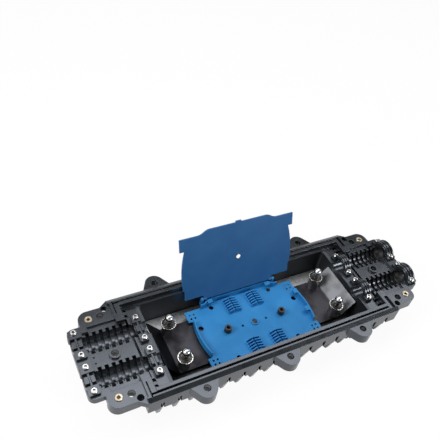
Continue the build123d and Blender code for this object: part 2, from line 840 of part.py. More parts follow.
def tray_outline():
    """tray plan about its own centre: corner tabs, bulged sides and stepped long edges"""
    crown = tray_half_width
    shoulder = crown - tray_shoulder_drop
    tab_low = shoulder - tray_tab_width
    middle = ((tray_crown_x + tray_shoulder_x) / 2, crown - tray_shoulder_drop / 2)
    side = ThreePointArc((tray_waist_x, -tab_low), (tray_bulge_x, 0), (tray_waist_x, tab_low))
    tab = Polyline(
        (tray_waist_x, tab_low),
        (tray_half_length, tab_low),
        (tray_half_length, shoulder),
        (tray_shoulder_x, shoulder),
    )
    step_a = TangentArc((tray_shoulder_x, shoulder), middle, tangent=(-1, 0))
    step_b = TangentArc((tray_crown_x, crown), middle, tangent=(1, 0))
    top = Line((tray_crown_x, crown), (0, crown))
    upper = [tab, step_a, step_b, top]
    quarter = upper + [edge.mirror(Plane.XZ) for edge in upper]
    right = quarter + [side]
    edges = [e for item in right + [item.mirror(Plane.YZ) for item in right] for e in item.edges()]
    return make_face(edges)


def splice_tray():
    """shallow tray with open corners for the fibres, winding posts and hinge ears"""
    place = Pos(0, tray_centre_y, 0)
    plan = tray_outline()
    floor = upright(plan, tray_bottom_z, tray_floor_z)
    inner = offset(plan, -tray_rim_thickness)
    rim = upright(plan - inner, tray_bottom_z, tray_rim_z)
    tab_low = tray_half_width - tray_shoulder_drop - tray_tab_width
    gap = block(
        (tray_rim_open_x, tray_half_length + 1),
        (tab_low - tray_rim_thickness, tray_half_width),
        (tray_floor_z, tray_rim_z + 1),
    )
    rim = rim - four_ways([gap])
    posts = [rod(sx * tray_post_x, 0, tray_bottom_z, tray_rim_z, tray_post_radius) for sx in (-1, 1)]
    hub = rod(0, 0, tray_bottom_z, tray_floor_z + tray_hub_height, tray_hub_radius)
    feet = four_ways([rod(*tray_foot_place, bar_top_z, tray_floor_z, tray_foot_radius)])
    spigot = rod(0, 0, bar_top_z, tray_floor_z, tray_foot_radius)
    length, width, thickness = retainer_size
    retainers = []
    for x in retainer_xs:
        for sy in (-1, 1):
            tongue = block(
                (x - length / 2, x + length / 2),
                (tray_half_width - width, tray_half_width - 0.5),
                (tray_rim_z - thickness, tray_rim_z),
            )
            retainers.append(tongue if sy > 0 else tongue.mirror(Plane.XZ))
    for v in side_retainer_vs:
        retainers.append(
            block(
                (tray_bulge_x - width - 1, tray_bulge_x - 1.5),
                (v - length / 2, v + length / 2),
                (tray_rim_z - thickness, tray_rim_z),
            )
        )
    tray = floor + rim + posts + [hub, spigot] + feet + retainers
    cut_top = tray_rim_z + 1
    cut_low = tray_bottom_z - 1
    holes = [
        rod(sx * tray_post_x, 0, tray_floor_z, cut_top, tray_post_bore) for sx in (-1, 1)
    ]
    holes += [rod(sx * tray_pin_x, 0, cut_low, cut_top, tray_pin_hole_radius) for sx in (-1, 1)]
    holes += [
        rod(x, sy * (tray_half_width - width - retainer_hole_radius), cut_low, tray_floor_z + 1,
            retainer_hole_radius)
        for x in retainer_xs
        for sy in (-1, 1)
    ]
    holes += both_ends([rod(*side_hole, cut_low, tray_floor_z + 1, side_hole_radius)])
    side = tab_hole_side / 2
    holes += four_ways(
        [
            block((x - side, x + side), (v - side, v + side), (cut_low, tray_floor_z + 1))
            for x in tab_hole_xs
            for v in tab_hole_vs
        ]
    )
    holes.append(rod(0, 0, bar_top_z - 1, cut_top, tray_screw_radius + clamp_hole_gap))
    holes.append(rod(0, 0, tray_floor_z, cut_top, tray_hub_recess_radius))
    tray = place * (tray - holes)
    bore = rod_x(-2 * lid_middle_half, 2 * lid_middle_half, lid_hinge_y, lid_hinge_z,
                 hinge_pin_radius + hinge_pin_gap)
    return tray + both_ends([hinge_ear()]) - bore


def hinge_ear():
    """upright ear at the tray's far edge, with a rounded top, that carries a lid pin"""
    x0 = lid_middle_half + hinge_side_gap
    x1 = x0 + hinge_ear_width
    y0 = lid_hinge_y - hinge_ear_radius
    y1 = lid_hinge_y + hinge_ear_radius
    post = block((x0, x1), (y0, y1), (tray_bottom_z, lid_hinge_z))
    foot = block((x0, x1), (y0 - 4.0, y1), (tray_bottom_z, tray_floor_z))
    return post + foot + rod_x(x0, x1, lid_hinge_y, lid_hinge_z, hinge_ear_radius)


def tray_screw():
    """flat headed screw sunk in the tray hub, that holds the tray to the bar"""
    seat = tray_floor_z
    top = seat + tray_screw_head_height
    head = rod(0, tray_centre_y, seat, top, tray_screw_head_radius)
    head = chamfer(head.edges().group_by(Axis.Z)[-1], tray_screw_head_height * 0.3)
    cross = [
        Pos(0, tray_centre_y, top) * Rot(0, 0, turn) * Box(1.0, 4.2, tray_screw_head_height)
        for turn in (35, 125)
    ]
    low = bar_bottom_z - tray_nut_height
    return head - cross + rod(0, tray_centre_y, low, seat, tray_screw_radius)


def tray_nut():
    """nut on the tray screw, under the bar"""
    low = bar_bottom_z - tray_nut_height
    nut = hexagon(0, tray_centre_y, low, bar_bottom_z, tray_nut_across_flats)
    return nut - rod(0, tray_centre_y, low - 1, bar_bottom_z + 1, tray_screw_radius)


def splice_holder(x, v):
    """comb block with two rows of slanted fins that grip the splice sleeves"""
    length, width = holder_size
    low = tray_floor_z
    base = Pos(x, tray_centre_y + v, low + holder_base / 2) * Box(length, width, holder_base)
    base = chamfer(base.edges().filter_by(Axis.Z), 1.5)
    fins = []
    first = -holder_fin_pitch * (holder_fin_count - 1) / 2
    for row in (-1, 1):
        for k in range(holder_fin_count):
            place = Pos(
                x + row * holder_row_offset,
                tray_centre_y + v + first + k * holder_fin_pitch,
                low + holder_base / 2 + holder_fin_height / 2,
            )
            fin = Box(holder_fin_length, holder_fin_thickness, holder_fin_height)
            fins.append(place * Rot(0, 0, -row * holder_fin_slant) * fin)
    return base + fins


def lid_outline():
    """lid plan in its own plane: x across, h from the hinge axis to the free edge"""
    shoulder = lid_shoulder_height
    middle = ((tray_crown_x + tray_shoulder_x) / 2, (shoulder + lid_length) / 2)
    lower = Polyline(
        (0, 0),
        (lid_middle_half, 0),
        (lid_middle_half, lid_corner_lift),
        (lid_lower_half, lid_corner_lift),
        (lid_lower_half, lid_step_height),
        (lid_upper_half, lid_step_height),
    )
    bulge_h = (lid_step_height + lid_notch_height) / 2
    bulge = ThreePointArc(
        (lid_upper_half, lid_step_height), (lid_bulge_half, bulge_h), (tray_waist_x, lid_notch_height)
    )
    ear = Polyline(
        (tray_waist_x, lid_notch_height),
        (lid_ear_half, lid_notch_height),
        (lid_ear_half, shoulder),
        (tray_shoulder_x, shoulder),
    )
    step_a = TangentArc((tray_shoulder_x, shoulder), middle, tangent=(-1, 0))
    step_b = TangentArc((tray_crown_x, lid_length), middle, tangent=(1, 0))
    top = Line((tray_crown_x, lid_length), (0, lid_length))
    right = [lower, bulge, ear, step_a, step_b, top]
    edges = [e for item in right + [item.mirror(Plane.YZ) for item in right] for e in item.edges()]
    tab_width, tab_length = lid_finger_tab
    return make_face(edges) + Pos(0, lid_length) * Rectangle(tab_width, 2 * tab_length)


def tray_lid():
    """thin lid, swung up past upright so that it leans on the seal ridge"""
    half = lid_thickness / 2
    plate = upright(lid_outline(), -half, half)
    hole = rod(0, lid_hole_height, -2 * half, 2 * half, lid_hole_radius)
    slit_width, slit_length = lid_slit
    slit_at = lid_hole_radius + slit_length / 2
    slits = [
        Pos(0, lid_hole_height, 0) * Rot(0, 0, turn) * Pos(slit_at, 0, 0)
        * Box(slit_length + 1, slit_width, 4 * half)
        for turn in (0, 90, 180, 270)
    ]
    ear_room = lid_middle_half
    knuckle = rod_x(ear_room - hinge_knuckle_width, ear_room, 0, 0, hinge_knuckle_radius)
    pin_end = ear_room + hinge_side_gap + hinge_ear_width + 0.6
    pin = rod_x(ear_room - 1, pin_end, 0, 0, hinge_pin_radius)
    lid = plate + both_ends([knuckle, pin]) - ([hole] + slits)
    return Pos(0, lid_hinge_y, lid_hinge_z) * Rot(90 - lid_open_lean, 0, 0) * lid


def clamps(name, x_limits, seat_z, thickness, radius, wall, saddle_size):
    """the four clamps of one kind: saddles at the left end, arches at the right end"""
    pieces = {}
    for label, y in (("near", -port_y), ("far", port_y)):
        saddle = saddle_clamp(x_limits, seat_z, thickness, saddle_size).mirror(Plane.YZ)
        arch = arch_clamp(x_limits, seat_z, thickness, radius, wall)
        pieces[f"{name}_clamp_left_{label}"] = Pos(0, y, 0) * saddle
        pieces[f"{name}_clamp_right_{label}"] = Pos(0, y, 0) * arch
    return pieces


def all_parts():
    """every node of the closure, by name"""
    outer_top = flange_z + outer_foot_thickness
    inner_top = clamp_seat_z + inner_foot_thickness
    parts = {
        "base_shell": base_shell(),
        "seal_cord_near": side_seal(-1),
        "seal_cord_far": side_seal(1),
        "corner_inserts": group(four_ways([corner_insert()])),
        "captive_nuts": group([captive_nut(x, y) for x, y in cover_bolt_places]),
        "outer_clamp_screws": clamp_screws(outer_clamp_mid_x, outer_top),
        "inner_clamp_screws": clamp_screws(inner_clamp_mid_x, inner_top),
        "floor_sheet": floor_sheet(),
        "strength_bar": strength_bar(),
        "bar_screws": group([bar_screw(x, y) for x, y in bar_screw_places]),
        "anchor_spacers": group([anchor_spacer(x, y) for x, y in anchor_places]),
        "anchor_washers": group([anchor_washer(x, y) for x, y in anchor_places]),
        "anchor_spring_washers": group([spring_washer(x, y) for x, y in anchor_places]),
        "anchor_bolts": group([anchor_bolt(x, y) for x, y in anchor_places]),
        "anchor_nuts": group([anchor_nut(x, y) for x, y in anchor_places]),
        "splice_tray": splice_tray(),
        "tray_screw": tray_screw(),
        "tray_nut": tray_nut(),
        "tray_lid": tray_lid(),
    }
    parts.update(
        clamps("outer", outer_clamp_x, flange_z, outer_foot_thickness, outer_seat_radius,
               outer_arch_wall, outer_saddle_size)
    )
    parts.update(
        clamps("inner", inner_clamp_x, clamp_seat_z, inner_foot_thickness, inner_seat_radius,
               inner_arch_wall, inner_saddle_size)
    )
    for label, v in (("near", -holder_v), ("far", holder_v)):
        for side, x in (("left", -holder_x), ("right", holder_x)):
            parts[f"splice_holder_{side}_{label}"] = splice_holder(x, v)
    return parts


os.makedirs("parts", exist_ok=True)
for node, part in all_parts().items():
    export_step(part, f"parts/{node}.step")
    print(node, len(part.solids()), round(part.volume))
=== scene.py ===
import json
from math import cos, pi, radians, sin

import bmesh
import bpy
from mathutils import Matrix, Vector

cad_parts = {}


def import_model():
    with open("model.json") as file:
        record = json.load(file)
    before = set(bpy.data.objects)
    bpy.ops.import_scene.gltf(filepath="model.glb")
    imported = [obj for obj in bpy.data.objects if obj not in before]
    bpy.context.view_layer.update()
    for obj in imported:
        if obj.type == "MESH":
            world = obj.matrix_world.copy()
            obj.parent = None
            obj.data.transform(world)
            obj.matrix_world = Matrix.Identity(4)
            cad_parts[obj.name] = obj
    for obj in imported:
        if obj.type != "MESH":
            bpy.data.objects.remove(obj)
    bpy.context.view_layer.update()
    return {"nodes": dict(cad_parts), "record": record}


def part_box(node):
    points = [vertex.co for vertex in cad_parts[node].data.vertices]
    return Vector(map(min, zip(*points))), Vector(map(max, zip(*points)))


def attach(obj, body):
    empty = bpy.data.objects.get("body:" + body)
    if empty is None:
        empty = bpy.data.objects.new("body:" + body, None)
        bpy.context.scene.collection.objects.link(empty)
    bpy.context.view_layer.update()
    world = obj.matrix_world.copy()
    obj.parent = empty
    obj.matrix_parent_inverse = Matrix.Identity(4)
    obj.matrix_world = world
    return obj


# The opened fibre splice closure, dressed: black moulded base, bright screws, steel bar, blue tray.
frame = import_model()
nodes = frame["nodes"]
BASE_BODY = "closure"

# Camera, solved from the photograph
CAMERA_PLACE = Vector((-0.3133, -0.3254, 0.6036))
CAMERA_AZIMUTH = radians(-34.90)
CAMERA_ELEVATION = radians(43.39)
CAMERA_ROLL = radians(11.91)
CAMERA_LENS = 45.62
CAMERA_CLIP_START = 0.01

# Colours, linear; a finish is mottled between its dark or dull colour and its light or worn one;
# colours marked as painted below stand in for light, shade and reflection
WHITE = (1.0, 1.0, 1.0)
FLOOR_WHITE = (0.92, 0.925, 0.93)
PLASTIC_DARK = (0.007, 0.0085, 0.0095)
PLASTIC_LIGHT = (0.017, 0.019, 0.021)
PLASTIC_EDGE = (0.060, 0.066, 0.072)
PLASTIC_TINT = (0.80, 0.87, 1.0)
TRAY_BLUE = (0.015, 0.180, 0.445)
TRAY_BLUE_WORN = (0.026, 0.215, 0.50)
TRAY_EDGE = (0.08, 0.31, 0.70)
# Painted shade: the lid's blues are the tray's blues made darker
LID_BLUE_SHADED = (0.022, 0.112, 0.29)
LID_BLUE_SHADED_WORN = (0.028, 0.128, 0.32)
LID_EDGE_SHADED = (0.09, 0.30, 0.62)
RUBBER_DARK = (0.010, 0.010, 0.011)
RUBBER_LIGHT = (0.022, 0.022, 0.024)
BRASS_DARK = (0.26, 0.215, 0.155)
BRASS = (0.46, 0.40, 0.31)
STEEL_DULL = (0.50, 0.50, 0.49)
STEEL = (0.62, 0.62, 0.61)
ZINC_DULL = (0.30, 0.31, 0.32)
ZINC = (0.48, 0.49, 0.50)
SPRING_DARK = (0.07, 0.068, 0.066)
SPRING = (0.13, 0.125, 0.12)
BLACKED_DARK = (0.02, 0.02, 0.02)
BLACKED = (0.06, 0.058, 0.056)
BAR_DARK = (0.008, 0.008, 0.009)
# Painted reflection: the bar is mottled from near black to lilac patches, and the patch colour is also
# its edge colour
BAR_REFLECTION_PATCH = (0.050, 0.049, 0.056)
LIP_DARK = (0.15, 0.152, 0.16)
LIP_LIGHT = (0.25, 0.25, 0.26)
# Painted shade: the bar's left lip is made far darker than its right one
LEFT_LIP_SHADED_DARK = (0.012, 0.013, 0.014)
LEFT_LIP_SHADED_LIGHT = (0.035, 0.036, 0.038)
SHEET_DARK = (0.22, 0.223, 0.226)
SHEET_LIGHT = (0.31, 0.314, 0.318)
# Painted light: the floor sheet's left end is made lighter than the rest of it
SHEET_LIT_END_DARK = (0.36, 0.37, 0.38)
SHEET_LIT_END_LIGHT = (0.46, 0.47, 0.48)
# Painted shade: the floor sheet's dark pair darkens its near part, and is also its base mottle and its
# edge colour
SHEET_SHADED_DARK = (0.035, 0.038, 0.040)
SHEET_SHADED_LIGHT = (0.060, 0.062, 0.065)

# Zones of another tint: the axis, the place where a zone begins and the place where it is full
BAR_LIPS = ("Z", 0.0142, 0.0165)
# the bar's left lip, which gets painted shade
BAR_SHADED_LEFT_LIP = ("X", -0.1175, -0.1205)
SHEET_FAR_PART = ("Y", -0.030, 0.010)
# the floor sheet's left end, which gets painted light
SHEET_LIT_LEFT_END = ("X", -0.108, -0.118)
# the floor sheet's near part, which gets painted shade
SHEET_SHADED_NEAR_PART = ("Y", 0.010, -0.030)

# Mottling of metals: where its ramp begins and ends, and how much finer a zone's blotches and the
# smears are
METAL_MOTTLE = (0.36, 0.62)
ZONE_SCALE = 1.7
SMEAR_SCALE = 3.0

# The tub's inside, where black plastic is matt: half length, half width and top, and how far its
# soft border reaches as a share of them
MATT_BOX = (0.1425, 0.0575, 0.0475)
MATT_BORDER = 1.02
MATT_ROUGHNESS = 0.40

# How well a bevelled normal agrees with the face's own on a flat face and on an edge
EDGE_SAMPLES = 4
FLAT_AGREEMENT = 0.995
EDGE_AGREEMENT = 0.80

# How far a roughness goes below and above its middle value
PLASTIC_SMOOTHER = 0.07
PLASTIC_ROUGHER = 0.09
METAL_SMOOTHER = 0.06
METAL_ROUGHER = 0.10

# Relief of the surfaces, depths in metres
GRAIN_DEPTH = 0.00005
WAVE_DEPTH = 0.0002
WAVE_STRENGTH = 0.12
SCRATCH_DEPTH = 0.00004
SCRATCH_STRENGTH = 0.25
RUBBER_GRAIN_DEPTH = 0.00004
RUBBER_GRAIN_STRENGTH = 0.3

# Floor and surround; the ceiling's stops are (sine of the elevation, brightness)
FLOOR_SIZE = 12.0
FLOOR_DROP = 0.0004
FLOOR_ROUGHNESS = 0.9
FLOOR_GLOW_SHARE = 0.94
FILL_LEVEL = 0.20
CEILING_DIM = 0.10
CEILING_START = 0.36
CEILING_STOPS = ((0.56, CEILING_DIM), (0.80, CEILING_DIM), (0.94, 1.0))

# The signs of x and y in the closure's four quarters
QUARTERS = ((-1, -1), (1, -1), (-1, 1), (1, 1))

# Places of the port axes, winding posts, clamp screws, anchors and locating holes, metres
PORT_Y = 0.0232
PORT_Z = 0.046
POST_X = 0.040
SCREW_OFFSET = 0.0152
SCREW_HEAD_RADIUS = 0.0036
ANCHOR_X = 0.1112
ANCHOR_Y = 0.0255
SOCKET_X = 0.1815
SOCKET_Y = 0.0615

# Threads of the anchor bolts: lengths in metres, then sides all round and rows to a turn
THREAD_LOW = 0.0356
THREAD_HIGH = 0.0414
THREAD_RADIUS = 0.00285
THREAD_DEPTH = 0.0004
THREAD_PITCH = 0.001
THREAD_SIDES = 28
THREAD_ROWS = 6
THREAD_FADE_ROWS = 2

# Toothed lock rings under the domed bolts: lengths in metres, then sides to a tooth and its notch
LOCK_RING_Z = 0.0336
LOCK_RING_TEETH = 14
TOOTH_DEPTH = 0.0006
TOOTH_BAND = 0.0004
TOOTH_SIDES = 12
NOTCH_START = 0.5

# Sides all round of a turned piece without teeth
ROUND_SIDES = 64

# Closed profiles of the turned pieces, (radius, place along the axis) in metres
LOCK_RING = [(0.0056, 0.0), (0.0086, 0.0), (0.0086, 0.0004), (0.0078, 0.0011), (0.0056, 0.0014)]
SOCKET_BOSS = [
    (0.0, 0.0400), (0.0046, 0.0400), (0.0052, 0.0406), (0.0052, 0.0421), (0.0040, 0.0421),
    (0.0040, 0.0410), (0.0, 0.0410),
]
# Painted shade: a thin dark disc on a screw head stands in for its drive recess
SCREW_DRIVE_SHADE = [
    (0.0, 0.00004), (0.0008, 0.00004), (0.0012, 0.00012), (0.0015, 0.00012), (0.0015, -0.0002),
    (0.0, -0.0002),
]
SLEEVE_OUTSIDE = [(0.0046, 0.0185), (0.0046, 0.0260), (0.0044, 0.0262), (0.0026, 0.0262)]
SLEEVE_BORE = [(0.0024, 0.0260), (0.0024, 0.0190)]
SLEEVE_ROUND_POST = [(0.00285, 0.0190), (0.00285, 0.02602), (0.00432, 0.02602), (0.00432, 0.0185)]
# Painted shade: a dark sleeve that darkens each winding post
POST_SHADE_SLEEVE = SLEEVE_OUTSIDE + SLEEVE_BORE + SLEEVE_ROUND_POST
LINER_WALL = [(0.01045, 0.2185), (0.01045, 0.2310)]
LINER_LIP = [(0.0056, 0.2310), (0.0053, 0.2305), (0.0056, 0.2299), (0.0086, 0.2264)]
LINER_OUTER_RIB = [
    (0.0096, 0.2258), (0.0096, 0.2255), (0.0087, 0.2251), (0.0087, 0.2243), (0.0096, 0.2239),
]
LINER_INNER_RIB = [(0.0096, 0.2209), (0.0087, 0.2203), (0.0087, 0.2191), (0.0096, 0.2185)]
PORT_LINER = LINER_WALL + LINER_LIP + LINER_OUTER_RIB + LINER_INNER_RIB


def material(name):
    """a new node material and its shader"""
    made = bpy.data.materials.new(name)
    made.use_nodes = True
    shader = made.node_tree.nodes["Principled BSDF"]
    return made, shader


def feed(tree, value, socket):
    """set a socket to a number or a colour, or link it to another socket"""
    if isinstance(value, float):
        socket.default_value = value
    elif isinstance(value, tuple):
        socket.default_value = (*value, 1.0)
    else:
        tree.links.new(value, socket)


def calculate(tree, operation, *values):
    """the result of one maths operation on sockets and numbers"""
    node = tree.nodes.new("ShaderNodeMath")
    node.operation = operation
    for value, socket in zip(values, node.inputs):
        feed(tree, value, socket)
    return node.outputs[0]


def axes_of(tree, coordinates):
    """the X, Y and Z of a texture coordinate"""
    place = tree.nodes.new("ShaderNodeTexCoord")
    axes = tree.nodes.new("ShaderNodeSeparateXYZ")
    tree.links.new(place.outputs[coordinates], axes.inputs["Vector"])
    return axes.outputs


def noise(tree, scale, detail, stretch=(1.0, 1.0, 1.0)):
    """noise in the object's own coordinates"""
    place = tree.nodes.new("ShaderNodeTexCoord")
    mapping = tree.nodes.new("ShaderNodeMapping")
    mapping.inputs["Scale"].default_value = stretch
    texture = tree.nodes.new("ShaderNodeTexNoise")
    texture.inputs["Scale"].default_value = scale
    texture.inputs["Detail"].default_value = detail
    tree.links.new(place.outputs["Object"], mapping.inputs["Vector"])
    tree.links.new(mapping.outputs["Vector"], texture.inputs["Vector"])
    return texture.outputs["Fac"]


def ramp(tree, source, low, high, start, end):
    """a two colour ramp over part of a factor's range"""
    node = tree.nodes.new("ShaderNodeValToRGB")
    node.color_ramp.elements[0].position = start
    node.color_ramp.elements[1].position = end
    node.color_ramp.elements[0].color = (*low, 1.0)
    node.color_ramp.elements[1].color = (*high, 1.0)
    tree.links.new(source, node.inputs["Fac"])
    return node.outputs["Color"]


def carried(tree, source, before=(0.0, 1.0), after=(0.0, 1.0)):
    """a factor carried from one range to another, and held inside it"""
    node = tree.nodes.new("ShaderNodeMapRange")
    node.inputs["From Min"].default_value, node.inputs["From Max"].default_value = before
    node.inputs["To Min"].default_value, node.inputs["To Max"].default_value = after
    tree.links.new(source, node.inputs["Value"])
    return node.outputs["Result"]


def worn_edges(tree, radius):
    """a factor that is 1 on edges and 0 on flat faces, and the bevelled normal that it comes from"""
    bevel = tree.nodes.new("ShaderNodeBevel")
    bevel.samples = EDGE_SAMPLES
    bevel.inputs["Radius"].default_value = radius
    geometry = tree.nodes.new("ShaderNodeNewGeometry")
    agreement = tree.nodes.new("ShaderNodeVectorMath")
    agreement.operation = "DOT_PRODUCT"
    tree.links.new(bevel.outputs["Normal"], agreement.inputs[0])
    tree.links.new(geometry.outputs["Normal"], agreement.inputs[1])
    worn = carried(tree, agreement.outputs["Value"], before=(FLAT_AGREEMENT, EDGE_AGREEMENT))
    return worn, bevel.outputs["Normal"]


def mix_colour(tree, factor, first, second):
    """the first colour where the factor is 0 and the second where it is 1"""
    node = tree.nodes.new("ShaderNodeMix")
    node.data_type = "RGBA"
    tree.links.new(factor, node.inputs["Factor"])
    colour_inputs = [socket for socket in node.inputs if socket.type == "RGBA"]
    for value, socket in zip((first, second), colour_inputs):
        feed(tree, value, socket)
    return next(socket for socket in node.outputs if socket.type == "RGBA")


def bumped(tree, shader, heights, normal=None):
    """fine relief on a shader: each height is (factor, distance, strength), laid one on another"""
    for factor, distance, strength in heights:
        bump = tree.nodes.new("ShaderNodeBump")
        bump.inputs["Distance"].default_value = distance
        bump.inputs["Strength"].default_value = strength
        tree.links.new(factor, bump.inputs["Height"])
        if normal is not None:
            tree.links.new(normal, bump.inputs["Normal"])
        normal = bump.outputs["Normal"]
    tree.links.new(normal, shader.inputs["Normal"])


def inside_box(tree, half_x, half_y, top):
    """a factor that is 1 inside a box about the object's own middle and 0 outside it"""
    axes = axes_of(tree, "Object")
    furthest = None
    for axis, reach in (("X", half_x), ("Y", half_y), ("Z", top)):
        share = calculate(tree, "MULTIPLY", axes[axis], 1 / reach)
        size = calculate(tree, "ABSOLUTE", share)
        furthest = size if furthest is None else calculate(tree, "MAXIMUM", furthest, size)
    return carried(tree, furthest, before=(MATT_BORDER, 1.0))


def along(tree, axis, start, end):
    """a factor that rises from 0 to 1 between two places along one of the object's own axes"""
    return carried(tree, axes_of(tree, "Object")[axis], before=(start, end))


def moulded_plastic(name, dark, light, edge, roughness, edge_radius, grain, gloss, tint=WHITE,
                    matt_box=None):
    """moulded plastic: faint mottling, a fine grain, and soft edges a little lighter; it is matt inside
    the box (half length, half width, top) if one is given"""
    made, shader = material(name)
    shader.inputs["Specular IOR Level"].default_value = gloss
    shader.inputs["Specular Tint"].default_value = (*tint, 1.0)
    tree = made.node_tree
    mottle = ramp(tree, noise(tree, scale=38.0, detail=5.0), dark, light, start=0.35, end=0.68)
    worn, soft_normal = worn_edges(tree, edge_radius)
    tree.links.new(mix_colour(tree, worn, mottle, edge), shader.inputs["Base Color"])
    roughness_range = (roughness - PLASTIC_SMOOTHER, roughness + PLASTIC_ROUGHER)
    smear = carried(tree, noise(tree, scale=60.0, detail=3.0), after=roughness_range)
    if matt_box is not None:
        matt = tree.nodes.new("ShaderNodeMix")
        tree.links.new(inside_box(tree, *matt_box), matt.inputs["Factor"])
        tree.links.new(smear, matt.inputs["A"])
        matt.inputs["B"].default_value = MATT_ROUGHNESS
        smear = matt.outputs["Result"]
    tree.links.new(smear, shader.inputs["Roughness"])
    fine_grain = noise(tree, scale=1500.0, detail=2.0)
    waves = noise(tree, scale=90.0, detail=2.0)
    relief = [(fine_grain, GRAIN_DEPTH, grain), (waves, WAVE_DEPTH, WAVE_STRENGTH)]
    bumped(tree, shader, relief, soft_normal)
    return made


def metal(name, dark, light, roughness, edge_radius, brushed=(1.0, 1.0, 1.0), mottle_scale=120.0,
          zones=()):
    """metal with slight tarnish; brushed gives the stretch of its fine scratches, and each zone another
    tint beyond a place along one axis: ((axis, start, end), dark, light); some zones carry painted
    light and painted shade"""
    made, shader = material(name)
    tree = made.node_tree
    shader.inputs["Metallic"].default_value = 1.0
    tarnish_and_painted_light = ramp(tree, noise(tree, mottle_scale, detail=4.0), dark, light, *METAL_MOTTLE)
    for reach, zone_dark, zone_light in zones:
        blotches = noise(tree, ZONE_SCALE * mottle_scale, detail=4.0)
        other = ramp(tree, blotches, zone_dark, zone_light, *METAL_MOTTLE)
        # the zones of the bar's left lip and of the floor sheet lay painted light and shade
        tarnish_and_painted_light = mix_colour(tree, along(tree, *reach), tarnish_and_painted_light, other)
    worn, soft_normal = worn_edges(tree, edge_radius)
    tree.links.new(mix_colour(tree, worn, tarnish_and_painted_light, light), shader.inputs["Base Color"])
    smear = noise(tree, SMEAR_SCALE * mottle_scale, detail=2.0)
    roughness_range = (roughness - METAL_SMOOTHER, roughness + METAL_ROUGHER)
    tree.links.new(carried(tree, smear, after=roughness_range), shader.inputs["Roughness"])
    scratches = noise(tree, scale=900.0, detail=2.0, stretch=brushed)
    bumped(tree, shader, [(scratches, SCRATCH_DEPTH, SCRATCH_STRENGTH)], soft_normal)
    return made


def soft_rubber(name):
    """black rubber with a fine grain"""
    made, shader = material(name)
    tree = made.node_tree
    blotches = noise(tree, scale=90.0, detail=3.0)
    mottle = ramp(tree, blotches, RUBBER_DARK, RUBBER_LIGHT, start=0.4, end=0.7)
    tree.links.new(mottle, shader.inputs["Base Color"])
    smear = carried(tree, noise(tree, scale=220.0, detail=2.0), after=(0.42, 0.62))
    tree.links.new(smear, shader.inputs["Roughness"])
    grain = noise(tree, scale=1200.0, detail=2.0)
    bumped(tree, shader, [(grain, RUBBER_GRAIN_DEPTH, RUBBER_GRAIN_STRENGTH)])
    return made


def plastics():
    """the black moulding and the three blue ones; the lid's blue is the tray's blue with painted shade
    """
    return [
        moulded_plastic(
            "black_plastic", PLASTIC_DARK, PLASTIC_LIGHT, PLASTIC_EDGE, roughness=0.22,
            edge_radius=0.0006, grain=0.3, gloss=0.92, tint=PLASTIC_TINT, matt_box=MATT_BOX,
        ),
        moulded_plastic(
            "tray_blue", TRAY_BLUE, TRAY_BLUE_WORN, TRAY_EDGE, roughness=0.5,
            edge_radius=0.0004, grain=0.25, gloss=0.2,
        ),
        moulded_plastic(
            "lid_blue", LID_BLUE_SHADED, LID_BLUE_SHADED_WORN, LID_EDGE_SHADED, roughness=0.5,
            edge_radius=0.0004, grain=0.25, gloss=0.22,
        ),
        moulded_plastic(
            "holder_blue", TRAY_BLUE, TRAY_BLUE_WORN, TRAY_EDGE, roughness=0.5,
            edge_radius=0.0003, grain=0.2, gloss=0.2,
        ),
    ]


def metals():
    """the small steel parts, the strength bar, the floor sheet and the brass inserts"""
    bar_zones = [(BAR_LIPS, LIP_DARK, LIP_LIGHT), (BAR_SHADED_LEFT_LIP, LEFT_LIP_SHADED_DARK, LEFT_LIP_SHADED_LIGHT)]
    # the sheet's near part gets painted shade and its left end painted light
    sheet_light_and_shade_zones = [
        (SHEET_FAR_PART, SHEET_DARK, SHEET_LIGHT),
        (SHEET_LIT_LEFT_END, SHEET_LIT_END_DARK, SHEET_LIT_END_LIGHT),
        (SHEET_SHADED_NEAR_PART, SHEET_SHADED_DARK, SHEET_SHADED_LIGHT),
    ]
    return [
        metal("bright_steel", STEEL_DULL, STEEL, roughness=0.20, edge_radius=0.0003),
        metal("zinc_steel", ZINC_DULL, ZINC, roughness=0.34, edge_radius=0.0003),
        metal("spring_steel", SPRING_DARK, SPRING, roughness=0.42, edge_radius=0.0002),
        metal("dark_steel", BLACKED_DARK, BLACKED, roughness=0.4, edge_radius=0.0002),
        metal(
            "bar_steel", BAR_DARK, BAR_REFLECTION_PATCH, roughness=0.45, edge_radius=0.0004,
            brushed=(0.05, 1.0, 1.0), mottle_scale=30.0, zones=bar_zones,
        ),
        metal(
            "galvanised_sheet", SHEET_SHADED_DARK, SHEET_SHADED_LIGHT, roughness=0.5,
            edge_radius=0.0003, zones=sheet_light_and_shade_zones,
        ),
        metal("brass", BRASS_DARK, BRASS, roughness=0.34, edge_radius=0.0003),
    ]


def finishes():
    """every material of the closure, by the record's slot name; Blender may have added .001 to it"""
    made = plastics() + metals() + [soft_rubber("seal_rubber")]
    return {finish.name.split(".")[0]: finish for finish in made}


def dress(finish_of):
    """give each node of the frame the finish of its slot"""
    for row in frame["record"]["subparts"]:
        mesh = nodes[row["node"]].data
        mesh.materials.clear()
        mesh.materials.append(finish_of[row["material_slot"]])


def add_piece(name, mesh, finish, body, smooth=False):
    """turn a finished bmesh into a piece of the scene"""
    data = bpy.data.meshes.new(name)
    mesh.to_mesh(data)
    mesh.free()
    piece = bpy.data.objects.new(name, data)
    bpy.context.collection.objects.link(piece)
    data.materials.append(finish)
    for polygon in data.polygons:
        polygon.use_smooth = smooth
    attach(piece, body)


